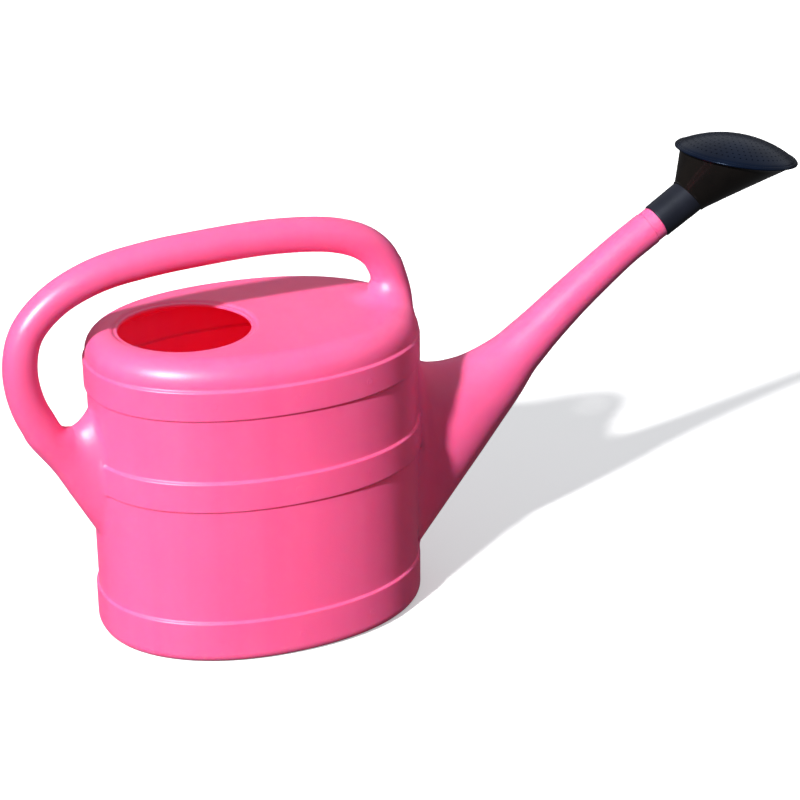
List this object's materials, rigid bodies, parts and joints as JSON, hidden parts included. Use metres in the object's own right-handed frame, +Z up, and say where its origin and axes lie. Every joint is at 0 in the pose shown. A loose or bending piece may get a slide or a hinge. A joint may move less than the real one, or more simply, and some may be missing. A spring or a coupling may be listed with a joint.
{
  "type": "watering can",
  "caption": "Blow-moulded garden watering can with an oval tank, round fill hole, loop handle, long tapering spout and a push-on domed spray rose.",
  "frame": {"origin": "middle of the bounding box's footprint, on the ground", "axes": "+X along the can's length towards the spout and rose, +Y across it to the left seen from behind the handle, +Z up"},
  "size_m": [0.7094, 0.205, 0.3591],
  "materials": {
    "vessel_plastic": "satin pink polyethylene with a soft sheen",
    "rose_plastic": "black polypropylene, satin to gloss",
    "rose_plate_plastic": "black polypropylene, satin, finely perforated"
  },
  "bodies": {
    "can": {"tank_base": "vessel_plastic", "tank_wall": "vessel_plastic", "tank_deck": "vessel_plastic", "handle": "vessel_plastic", "spout": "vessel_plastic"},
    "neck": {"rose_neck": "rose_plastic"},
    "funnel": {"rose_funnel": "rose_plastic"},
    "plate": {"rose_plate": "rose_plate_plastic"}
  },
  "joints": [
    {"name": "rose_pull", "type": "slide", "parent": "can", "child": "neck", "axis": [0.8453, 0, 0.5344], "range_m": [0, 0.06]},
    {"name": "rose_twist", "type": "hinge", "parent": "neck", "child": "funnel", "pos_m": [0.2243, 0, 0.2908], "axis": [0.8453, 0, 0.5344], "continuous": true},
    {"name": "plate_pull", "type": "slide", "parent": "funnel", "child": "plate", "axis": [0.1495, 0, 0.9888], "range_m": [0, 0.03]}
  ]
}
